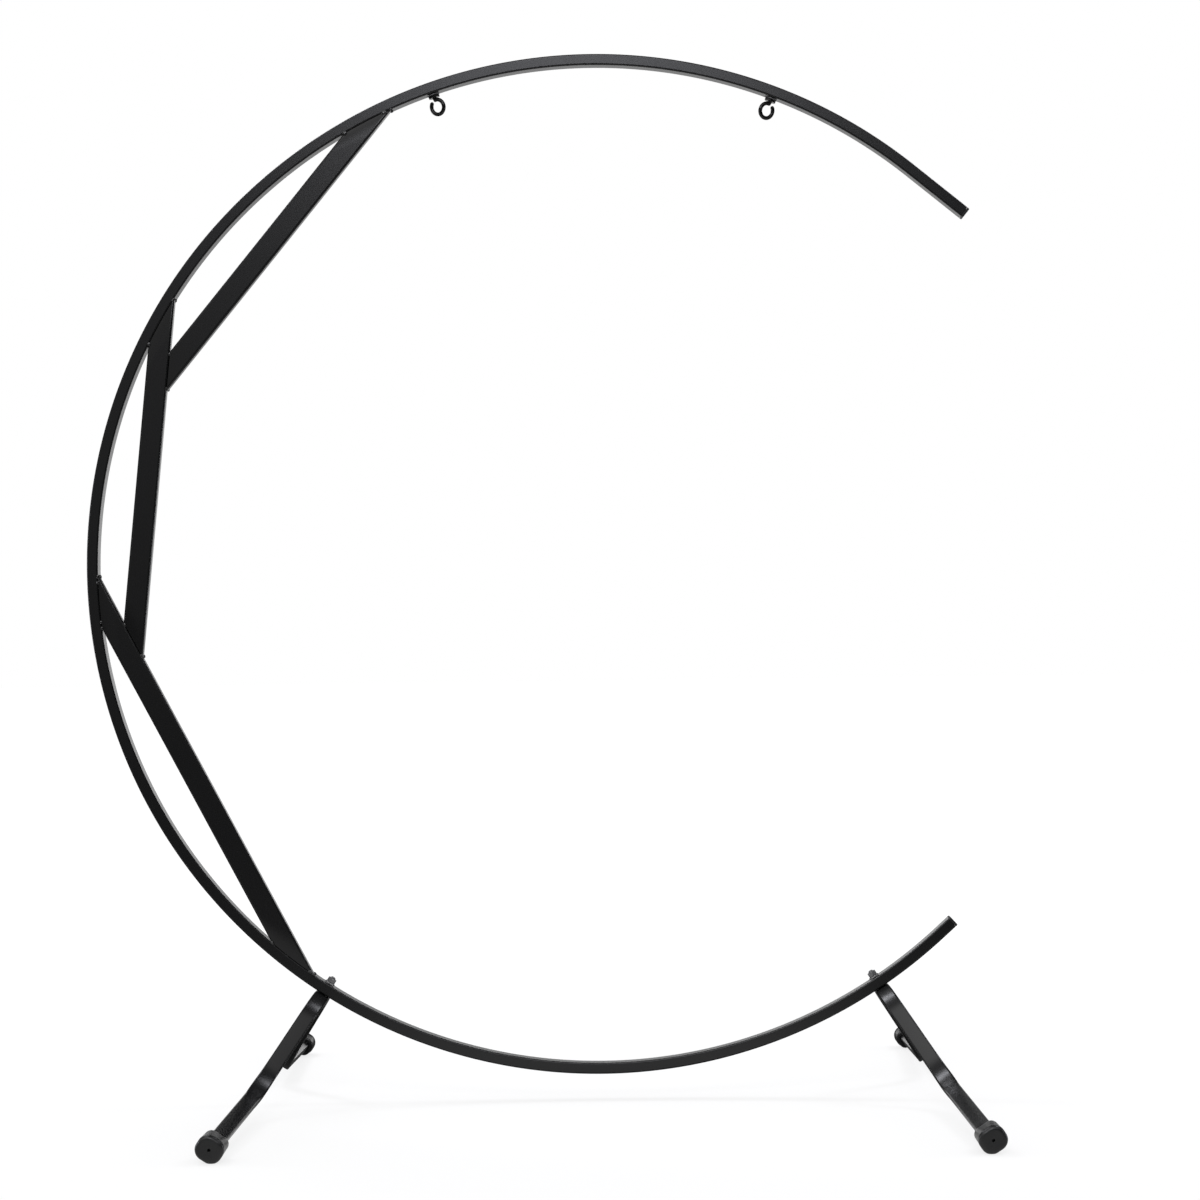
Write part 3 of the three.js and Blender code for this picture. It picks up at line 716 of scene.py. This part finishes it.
def leg_rows(line, inset):
    """A rectangular section with round corners carried along the bow.

    Where the tube is bent at the ankle, it spreads and gets thinner by a bell curve, exp(-(s / length)^2).
    Its wider sides bulge: each point moves out by crown x (1 - (across / half width)^2).
    """
    step = np.linalg.norm(np.diff(line, axis=0), axis=1)
    along = np.concatenate([[0], np.cumsum(step)])
    ankle = LEG_SHOULDER[0] + math.hypot(LEG_ANKLE[0] - LEG_SHOULDER[0], LEG_ANKLE[1])
    at_bend = np.exp(-(((along - ankle) / ANKLE_LENGTH) ** 2))
    width = LEG_WIDTH + ANKLE_SPREAD * at_bend
    thick = LEG_THICKNESS - ANKLE_THINNING * at_bend
    tangent = np.gradient(line, axis=0)
    tangent /= np.linalg.norm(tangent, axis=1)[:, None]
    normal = np.stack([-tangent[:, 1], tangent[:, 0]], -1)
    rows = []
    for p, n, w, t in zip(line, normal, width, thick):
        low = t - 2 * inset - 2 * LEG_CROWN
        s = rounded_section(w - 2 * inset, low, LEG_CORNER - inset, arc=8, flat=8)
        s[:, 1] *= 1 + 2 * LEG_CROWN / low * (1 - (2 * s[:, 0] / w) ** 2)
        rows.append(np.stack([s[:, 0], -(p[0] + s[:, 1] * n[0]), p[1] + s[:, 1] * n[1]], -1))
    half = np.stack(rows)
    back = half[1:][::-1].copy()
    back[..., 1] *= -1
    return np.concatenate([back, half])


def make_leg(name, material):
    """A leg's tube, walled, whose ends stop short of the bottom of the caps' sockets, with its bolt hole."""
    side, toe = LEG_SIDES[name]
    line = leg_line(LEG_REACH - CAP_LENGTH + CAP_SOCKET - GAP)
    outer, inner = (to_leg(leg_rows(line, inset), side, toe) for inset in (0.0, LEG_WALL))
    leg = make_piece(f"{name}_leg_bow", *walled(outer, inner), material)
    combined(leg, [drill(BOLT_HOLE, RING_OUTER - 2, RING_OUTER + 20, bolt_direction(name), material)])
    return finish_piece(leg, f"{name}_leg", "powder_coat", f"{name}_leg_tube")


def cap_rows():
    """Rings of a cap from its socket's bottom, out over its mouth and along its outside to its face.

    Each ring is a rounded rectangle of its own width, height and corner, at a distance behind the face. An
    edge of radius e is a quarter circle: drawn in by e (1 - sin a), at e (1 - cos a) from where it starts.
    """
    rows = []

    def ring(width, height, corner, behind):
        section = rounded_section(width, height, corner, arc=9, flat=1)
        rows.append(np.column_stack([section, np.full(len(section), -behind)]))

    def drawn_in(size, inset, behind):
        ring(*(size - inset * np.array([2, 2, 1])), behind)

    for socket_ring in CAP_SOCKET_RINGS:
        ring(*socket_ring)
    edge = CAP_MOUTH_EDGE
    for a in np.radians(15.0 * np.arange(7)):
        drawn_in(CAP_MOUTH, edge * (1 - np.sin(a)), CAP_LENGTH - edge * (1 - np.cos(a)))
    for t in np.linspace(0.0, 1.0, 7)[1:]:
        ring(*(CAP_MOUTH + t * CAP_SLEEVE_GROWTH), CAP_LENGTH - CAP_MOUTH_EDGE - t * CAP_SLEEVE_RUN)
    for groove_ring in CAP_GROOVE_RINGS:
        ring(*groove_ring)
    edge = CAP_PAD_REAR_EDGE
    for a in np.radians(22.5 * np.arange(5)):
        drawn_in(CAP_PAD, edge * (1 - np.sin(a)), CAP_PAD_LENGTH - edge * (1 - np.cos(a)))
    edge = CAP_PAD_FRONT_EDGE
    for a in np.radians(9.0 * np.arange(11)):
        drawn_in(CAP_PAD, edge * (1 - np.cos(a)), edge * (1 - np.sin(a)))
    return rows


def make_cap(name, end, material):
    """A rubber cap: a sleeve that widens to a padded end with a soft edge, a dished face and a dimple.

    Where it would pass below the floor, it is pressed flat.
    """
    side, toe = LEG_SIDES[name]
    facing = 1 if end == "front" else -1
    rows = cap_rows()
    face = rows[-1]
    for share, behind in CAP_DISH:
        rows.append(np.column_stack([face[:, :2] * share, np.full(len(face), -behind)]))
    angle = np.arctan2(face[:, 1], face[:, 0])
    for radius, behind in CAP_DIMPLE:
        rows.append(np.column_stack([radius * np.cos(angle), radius * np.sin(angle),
                                     np.full(len(face), -behind)]))
    slope = math.atan2(FOOT_DROP, FOOT_RUN)
    x, up, out = np.moveaxis(np.stack(rows), -1, 0)
    y = -out * math.cos(slope) - up * math.sin(slope)
    z = up * math.cos(slope) - out * math.sin(slope)
    drop = LEG_THICKNESS / 2 + LEG_ANKLE[1] + FOOT_DROP
    local = np.stack([facing * x, facing * (y - LEG_REACH), z - drop], -1)
    points = to_leg(local, side, toe)
    points[..., 2] = np.maximum(points[..., 2], 0.0)
    cap = make_piece(f"{name}_{end}_cap", *loft(points), material, sharp=48.0)
    return finish_piece(cap, f"{name}_leg", "rubber", f"{name}_{end}_foot_cap")


# ---------------------------------------------------------------- fasteners and hooks

def threaded(radius, low, high, pitch, depth):
    """Rings of a threaded end, cut in by 0, half, all and half of the depth in turn, with a narrowed tip."""
    heights = np.arange(low, high - THREAD_TIP, pitch / 4)
    phase = np.array([0.0, 0.5, 1.0, 0.5])[np.arange(len(heights)) % 4]
    rings = [(radius - depth * p, h) for p, h in zip(phase, heights)]
    return rings + [(radius - depth, high - THREAD_TIP), (radius - depth - THREAD_TIP, high)]


def make_bolt(name, material):
    """A hexagon bolt from below: its head under the leg, its thread through the nut."""
    top = RING_OUTER + LEG_THICKNESS + 2 * GAP
    tip = SEAT - WASHER_THICKNESS - GAP - NUT_HEIGHT - BOLT_TIP
    rows = [hex_ring(NUT_FLATS, corner, top + height) for corner, height in BOLT_HEAD]
    profile = [(BOLT_RADIUS, top), (BOLT_RADIUS, RING_MIDDLE)]
    profile += [(r, tip + BOLT_THREAD - h) for r, h in threaded(BOLT_RADIUS, 0.0, BOLT_THREAD, 1.0, 0.32)]
    rows += [disc_ring(r, h, 6 * HEX_SIDE_POINTS) for r, h in profile]
    bolt = make_piece(f"{name}_bolt", *loft(radial(np.stack(rows), bolt_direction(name))), material)
    return finish_piece(bolt, "frame", "hardware", f"{name}_leg_bolt")


def make_washer(name, material):
    """A punched washer: its outer edges are rounded and its bore's are chamfered."""
    low, high, edge = SEAT - WASHER_THICKNESS, SEAT, WASHER_EDGE
    rim, shy, bore = WASHER_RADIUS, WASHER_RADIUS - 0.1, NUT_BORE
    profile = [(bore + edge, low), (rim - edge, low), (shy, low + 0.1), (rim, low + edge), (rim, high - edge),
               (shy, high - 0.1), (rim - edge, high), (bore + edge, high), (bore, high - edge),
               (bore, low + edge)]
    grid = radial(turned(profile, 48), bolt_direction(name))
    washer = make_piece(f"{name}_washer", *looped(grid), material, sharp=40.0)
    return finish_piece(washer, "frame", "hardware", f"{name}_leg_washer")


def nut_rows(flats, bore, low, high):
    """Rings round a nut's section: its chamfered bore, its faces and its flats with rounded-off corners."""
    corner = flats / 2 / math.cos(math.pi / 6)
    shy = flats / 2 * 0.97
    height = 0.055 * flats
    chamfer = 0.45
    rows = [hex_ring(flats, shy, low), hex_ring(flats, (shy + corner) / 2, low + height * 0.45),
            hex_ring(flats, corner, low + height), hex_ring(flats, corner, high - height),
            hex_ring(flats, (shy + corner) / 2, high - height * 0.45), hex_ring(flats, shy, high)]
    rows += [disc_ring(r, h, 6 * HEX_SIDE_POINTS) for r, h in (
        (bore + chamfer, high), (bore, high - chamfer), (bore, low + chamfer), (bore + chamfer, low))]
    return np.stack(rows)


def make_nut(piece_name, node, flats, bore, low, high, direction, material, slot):
    grid = radial(nut_rows(flats, bore, low, high), direction)
    nut = make_piece(piece_name, *looped(grid), material, sharp=28.0)
    return finish_piece(nut, "frame", slot, node)


def wire_ring(centre, along, across, radius):
    """A circle of the wire, square to its line."""
    along = along / np.linalg.norm(along)
    third = np.cross(along, across)
    t = np.linspace(0, 2 * math.pi, WIRE_SIDES, endpoint=False)[:, None]
    return centre + radius * (np.cos(t) * across + np.sin(t) * third)


def make_hook(name, material):
    """An open eye of round wire on a threaded shank.

    The eye follows a circle of radius (eye - wire)/2 from its top, under the shank, by 360 degrees less the
    mouth. Both ends of the wire are half balls: at sin a of the wire's radius past the end, cos a as wide.
    """
    side, direction = HOOKS[name]
    nut_low = SEAT - FLANGE_THICKNESS - GAP - LOCK_NUT_HEIGHT
    eye = nut_low - GAP - HOOK_EYE / 2
    radius = (HOOK_EYE - HOOK_WIRE) / 2
    across = np.array([0.0, 1.0, 0.0])
    wire = HOOK_WIRE / 2
    turn = math.radians(360 - HOOK_MOUTH)
    ball = [(math.sin(a), max(math.cos(a), 0.02)) for a in np.radians(15.0 * np.arange(1, 7))]
    ends = len(ball)
    angles = [0.0] * ends + list(np.linspace(0.0, turn, HOOK_STEPS)) + [turn] * ends
    pushes = [-push for push, _ in ball[::-1]] + [0.0] * HOOK_STEPS + [push for push, _ in ball]
    shares = [share for _, share in ball[::-1]] + [1.0] * HOOK_STEPS + [share for _, share in ball]
    rows = []
    for a, push, share in zip(angles, pushes, shares):
        angle = math.pi / 2 + a
        ahead = np.array([-math.sin(angle), 0, math.cos(angle)])
        middle = np.array([radius * math.cos(angle), 0, eye + radius * math.sin(angle)])
        rows.append(wire_ring(middle + ahead * wire * push, ahead, across, wire * share))
    stem_radius, stem_low = HOOK_SHANK / 2, eye + radius
    top = RING_OUTER - RING_WALL - GAP
    shank = [(stem_radius - 0.3, stem_low), (stem_radius, stem_low + 0.6)]
    shank += threaded(stem_radius, stem_low + 2.0, top, 0.8, 0.25)
    turned_by = math.radians(HOOK_TURN * side) + (math.pi if side < 0 else 0)
    x, y, z = np.moveaxis(np.stack(rows), -1, 0)
    x, y = x * math.cos(turned_by) - y * math.sin(turned_by), x * math.sin(turned_by) + y * math.cos(turned_by)
    grid = radial(np.stack([x, y, z], -1), direction)
    hook = make_piece(f"{name}_open_hook", *loft(grid), material, 60.0)
    stem = make_piece("stem", *loft(radial(turned(shank, 24), direction)), material, 60.0)
    combined(hook, [stem], "UNION")
    return finish_piece(hook, f"{name}_hook", "hook_black", f"{name}_hook")


def make_insert(name, material):
    """A flanged insert in the ring's inner wall, with its sleeve behind the wall."""
    _, direction = HOOKS[name]
    low = SEAT - FLANGE_THICKNESS
    top = RING_OUTER - RING_WALL - GAP
    bore, sleeve, rim = INSERT_BORE, INSERT_RADIUS, FLANGE_RADIUS
    profile = [(bore, low + 0.3), (bore + 0.3, low), (rim - 0.4, low), (rim - 0.1, low + 0.12),
               (rim, low + 0.35), (rim, SEAT - 0.3), (rim - 0.2, SEAT), (sleeve, SEAT), (sleeve, top - 0.4),
               (sleeve - 0.3, top), (bore + 0.3, top), (bore, top - 0.3)]
    grid = radial(turned(profile, 48), direction)
    insert = make_piece(f"{name}_threaded_insert", *looped(grid), material, sharp=35.0)
    return finish_piece(insert, "frame", "hardware", f"{name}_hook_insert")


# ---------------------------------------------------------------- floor, background and light

def link_step(tree, source, low, high, at_low, at_high):
    """A smooth step of the source's value, from at_low at low to at_high at high."""
    node = add_node(tree, "ShaderNodeMapRange", interpolation_type="SMOOTHSTEP")
    for key, value in (("From Min", low), ("From Max", high), ("To Min", at_low), ("To Max", at_high)):
        node.inputs[key].default_value = value
    tree.links.new(source, node.inputs["Value"])
    return node.outputs[0]


def make_stage():
    """A pale floor that fades into a white background and keeps the stand's shadow.

    The camera sees it mostly as a white glow that grows with the distance, and partly as matte. Reflections
    find it brightest in front of the ring's middle, dim behind the ring and light again far behind: centre x
    close x under + behind.
    """
    material = bpy.data.materials.new("pale floor")
    material.use_nodes = True
    tree = material.node_tree
    tree.nodes.clear()
    link = tree.links.new
    out = tree.nodes.new("ShaderNodeOutputMaterial")
    matte = add_node(tree, "ShaderNodeBsdfDiffuse", Color=FLOOR_COLOUR)
    white = add_node(tree, "ShaderNodeEmission", Color=WHITE)
    mirrored = add_node(tree, "ShaderNodeEmission", Color=WHITE)
    place = tree.nodes.new("ShaderNodeTexCoord").outputs["Object"]
    split = tree.nodes.new("ShaderNodeSeparateXYZ")
    link(place, split.inputs[0])
    x, y = split.outputs["X"], split.outputs["Y"]
    away = add_node(tree, "ShaderNodeVectorMath", operation="LENGTH")
    link(place, away.inputs[0])
    link(link_step(tree, away.outputs["Value"], 0.9, 2.2, 1.07, 1.26), white.inputs["Strength"])
    from_middle = math_node(tree, "ABSOLUTE", math_node(tree, "ADD", x, -0.08))
    centre = link_step(tree, from_middle, 0.2, 0.45, 1.1, 0.6)
    close = link_step(tree, y, -1.8, -0.3, 0.05, 1.0)
    under = link_step(tree, y, -0.25, 0.0, 1.0, 0.12)
    behind = link_step(tree, y, 1.5, 4.0, 0.0, 0.7)
    front = math_node(tree, "MULTIPLY", centre, close)
    link(math_node(tree, "MULTIPLY_ADD", front, under, behind), mirrored.inputs["Strength"])
    path = tree.nodes.new("ShaderNodeLightPath").outputs
    seen = tree.nodes.new("ShaderNodeMixShader")
    link(math_node(tree, "MULTIPLY", path["Is Camera Ray"], FLOOR_WHITE_SHARE), seen.inputs[0])
    link(matte.outputs[0], seen.inputs[1])
    link(white.outputs[0], seen.inputs[2])
    mix = tree.nodes.new("ShaderNodeMixShader")
    link(path["Is Glossy Ray"], mix.inputs[0])
    link(seen.outputs[0], mix.inputs[1])
    link(mirrored.outputs[0], mix.inputs[2])
    link(mix.outputs[0], out.inputs["Surface"])
    size, low = FLOOR_SIZE, FLOOR_HEIGHT
    mesh = bpy.data.meshes.new("floor")
    mesh.from_pydata([(-size, -size, low), (size, -size, low), (size, size, low), (-size, size, low)],
                     [], [(0, 1, 2, 3)])
    mesh.materials.append(material)
    floor = bpy.data.objects.new("floor", mesh)
    bpy.context.scene.collection.objects.link(floor)


def make_world():
    """White for the camera, grey for diffuse light, and a studio for reflections, by their direction.

    The studio has a bright strip low behind the stand, a ceiling in front that is brighter on the left, and
    a dim wall on the left that is dimmer behind: behind x low + above x ceiling + dim wall.
    """
    world = bpy.data.worlds.new("studio")
    bpy.context.scene.world = world
    world.use_nodes = True
    tree = world.node_tree
    tree.nodes.clear()
    link = tree.links.new
    out = tree.nodes.new("ShaderNodeOutputWorld")
    place = tree.nodes.new("ShaderNodeTexCoord")
    split = tree.nodes.new("ShaderNodeSeparateXYZ")
    link(place.outputs["Generated"], split.inputs[0])
    x, y, z = split.outputs

    def mixed(factor, a, b):
        node = add_node(tree, "ShaderNodeMix", data_type="FLOAT")
        link(factor, node.inputs[0])
        for socket, value in ((node.inputs[2], a), (node.inputs[3], b)):
            if isinstance(value, float):
                socket.default_value = value
            else:
                link(value, socket)
        return node.outputs[0]

    behind = link_step(tree, y, 0.92, 0.98, 0.0, 1.0)
    low = link_step(tree, z, 0.14, 0.19, 1.35, 0.02)
    above = link_step(tree, z, 0.35, 0.75, 0.0, 1.0)
    ceiling = math_node(tree, "MULTIPLY", link_step(tree, x, -0.4, 0.4, 1.7, 1.05),
                        link_step(tree, y, -0.4, -0.2, 1.0, 0.08))
    dim_wall = math_node(tree, "MULTIPLY", link_step(tree, x, -0.2, -0.04, 0.42, 0.025),
                         link_step(tree, y, -0.4, 0.0, 1.0, 0.4))
    studio = math_node(tree, "MULTIPLY_ADD", above, ceiling, dim_wall)
    studio = math_node(tree, "MULTIPLY_ADD", behind, low, studio)
    path = tree.nodes.new("ShaderNodeLightPath")
    level = mixed(path.outputs["Is Glossy Ray"], 0.6, studio)
    level = mixed(path.outputs["Is Camera Ray"], level, 1.0)
    background = add_node(tree, "ShaderNodeBackground", Color=WHITE)
    link(level, background.inputs["Strength"])
    link(background.outputs[0], out.inputs["Surface"])


def add_lamp(name, place, target, width, height, power):
    """A rectangular lamp, unseen by the camera, that points from its place to its target."""
    data = bpy.data.lights.new(name, "AREA")
    data.shape = "RECTANGLE"
    data.size = width
    data.size_y = height
    data.energy = power
    data.color = LAMP_COLOUR
    lamp = bpy.data.objects.new(name, data)
    bpy.context.scene.collection.objects.link(lamp)
    lamp.visible_camera = False
    lamp.location = Vector(place)
    lamp.rotation_euler = (Vector(target) - Vector(place)).to_track_quat("-Z", "Y").to_euler()


def make_light():
    """The studio and its lamps. Each box lights the highlights of the leg on the other side."""
    make_world()
    for name, values in LAMPS.items():
        add_lamp(name, *values)


# ---------------------------------------------------------------- the stand

def main():
    make_camera()
    finishes = make_finishes()
    make_ring(finishes["powder"])
    for end in RING_BEND:
        make_plug(end, finishes["plug"])
    for name in BRACE_DIRECTIONS:
        make_brace(name, finishes["powder"])
        make_welds(name, finishes["weld"])
    nut_high = SEAT - WASHER_THICKNESS - GAP
    for name in LEG_SIDES:
        make_leg(name, finishes["powder"])
        for end in ("front", "rear"):
            make_cap(name, end, finishes["rubber"])
        make_bolt(name, finishes["hardware"])
        make_washer(name, finishes["washer"])
        make_nut(f"{name}_nut", f"{name}_leg_nut", NUT_FLATS, NUT_BORE, nut_high - NUT_HEIGHT, nut_high,
                 bolt_direction(name), finishes["hardware"], "hardware")
    nut_high = SEAT - FLANGE_THICKNESS - GAP
    for name, (_, direction) in HOOKS.items():
        make_hook(name, finishes["gloss"])
        make_insert(name, finishes["hardware"])
        make_nut(f"{name}_hook_nut", f"{name}_hook_lock_nut", LOCK_NUT_FLATS, INSERT_BORE,
                 nut_high - LOCK_NUT_HEIGHT, nut_high, direction, finishes["gloss"], "hook_black")
    make_stage()
    make_light()
    bpy.context.scene.view_settings.view_transform = "Standard"


main()
